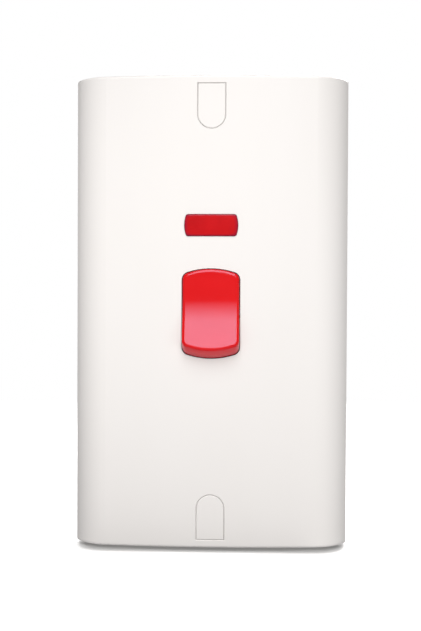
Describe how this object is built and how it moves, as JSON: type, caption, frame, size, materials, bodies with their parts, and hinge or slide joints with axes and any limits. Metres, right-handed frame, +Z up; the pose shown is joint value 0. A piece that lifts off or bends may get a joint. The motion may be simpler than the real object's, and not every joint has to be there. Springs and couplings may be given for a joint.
{
  "type": "double pole switch",
  "caption": "Upright white moulded wall switch with a crowned plate, red rocker, red indicator window and flush caps over the fixing screws; switches both poles of a cooker circuit.",
  "frame": {"origin": "middle of the plate's back, on the wall and halfway between the fixing screws", "axes": "+X to the right seen from the front, +Y into the wall, +Z up; the face looks along -Y"},
  "size_m": [0.086, 0.0358, 0.147],
  "materials": {
    "plate_plastic": "gloss moulded white",
    "rocker_plastic": "gloss moulded red",
    "lens_plastic": "clear red moulding",
    "base_plastic": "satin moulded white",
    "plunger_plastic": "natural nylon",
    "terminal_brass": "machined",
    "contact_copper": "rolled copper strip",
    "contact_silver": "satin silver",
    "screw_steel": "zinc plated",
    "spring_steel": "drawn wire",
    "lamp_glass": "clear glass",
    "resistor_coat": "lacquer coat",
    "lead_wire": "tinned wire"
  },
  "bodies": {
    "housing": {"front_plate": "plate_plastic", "upper_screw_cap": "plate_plastic", "lower_screw_cap": "plate_plastic", "fixing_screws": "screw_steel", "neon_lens": "lens_plastic", "neon_lamp": "lamp_glass", "neon_resistor": "resistor_coat", "neon_lead_line": "lead_wire", "neon_lead_neutral": "lead_wire", "mechanism_base": "base_plastic", "base_screws": "screw_steel", "terminal_screws": "terminal_brass", "fixed_contact_line": "contact_copper", "fixed_tip_line": "contact_silver", "feed_bar_line": "contact_copper", "terminal_line_in": "terminal_brass", "terminal_line_out": "terminal_brass", "fixed_contact_neutral": "contact_copper", "fixed_tip_neutral": "contact_silver", "feed_bar_neutral": "contact_copper", "terminal_neutral_in": "terminal_brass", "terminal_neutral_out": "terminal_brass"},
    "rocker": {"rocker": "rocker_plastic", "plunger_spring_line": "spring_steel", "plunger_spring_neutral": "spring_steel"},
    "plunger_line": {"plunger_line": "plunger_plastic"},
    "contact_line": {"moving_contact_line": "contact_copper", "moving_tip_line": "contact_silver"},
    "plunger_neutral": {"plunger_neutral": "plunger_plastic"},
    "contact_neutral": {"moving_contact_neutral": "contact_copper", "moving_tip_neutral": "contact_silver"}
  },
  "joints": [
    {"name": "rocker_tilt", "type": "hinge", "parent": "housing", "child": "rocker", "pos_m": [0, -0.004, -0.0004], "axis": [1, 0, 0], "range_deg": [0, 17]},
    {"name": "contact_line_swing", "type": "hinge", "parent": "housing", "child": "contact_line", "pos_m": [-0.0048, 0.00835, -0.0004], "axis": [1, 0, 0], "range_deg": [-20, 0]},
    {"name": "contact_neutral_swing", "type": "hinge", "parent": "housing", "child": "contact_neutral", "pos_m": [0.0048, 0.00835, -0.0004], "axis": [1, 0, 0], "range_deg": [-20, 0]},
    {"name": "plunger_line_slide", "type": "slide", "parent": "rocker", "child": "plunger_line", "axis": [0, -0.989, 0.1478], "range_m": [0, 0.0015], "stiffness_N_per_m": 150, "springref_m": -0.002, "deforming": ["plunger_spring_line"]},
    {"name": "plunger_neutral_slide", "type": "slide", "parent": "rocker", "child": "plunger_neutral", "axis": [0, -0.989, 0.1478], "range_m": [0, 0.0015], "stiffness_N_per_m": 150, "springref_m": -0.002, "deforming": ["plunger_spring_neutral"]}
  ],
  "couplings": [
    {"joint": "contact_line_swing", "follows": "rocker_tilt", "ratio": -1.1764},
    {"joint": "contact_neutral_swing", "follows": "rocker_tilt", "ratio": -1.1764}
  ]
}
